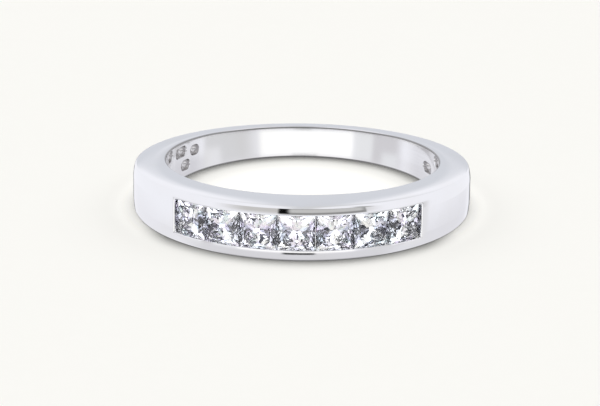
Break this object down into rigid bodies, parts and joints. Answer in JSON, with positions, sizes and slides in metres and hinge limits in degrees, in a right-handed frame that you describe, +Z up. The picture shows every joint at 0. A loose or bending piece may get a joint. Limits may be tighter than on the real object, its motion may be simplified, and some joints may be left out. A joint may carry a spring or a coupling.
{
  "type": "channel set band",
  "caption": "Tapered finger ring with square princess-cut stones held edge to edge in a channel across its head.",
  "frame": {"origin": "the point where the axis of the finger hole meets the lower side face, which is the face the ring rests on", "axes": "+Z up, square to the resting face; -Y from the finger hole towards the head and its stones; +X to the right as the stones are faced. The finger hole's axis leans back from +Z by the taper of one side face, 1.88 degrees"},
  "size_m": [0.0214, 0.0214, 0.0034],
  "materials": {
    "white_gold": "mirror polished white gold",
    "diamond": "polished facets"
  },
  "bodies": {
    "root": {"band": "white_gold", "stone_1": "diamond", "stone_2": "diamond", "stone_3": "diamond", "stone_4": "diamond", "stone_5": "diamond", "stone_6": "diamond", "stone_7": "diamond"}
  },
  "joints": []
}
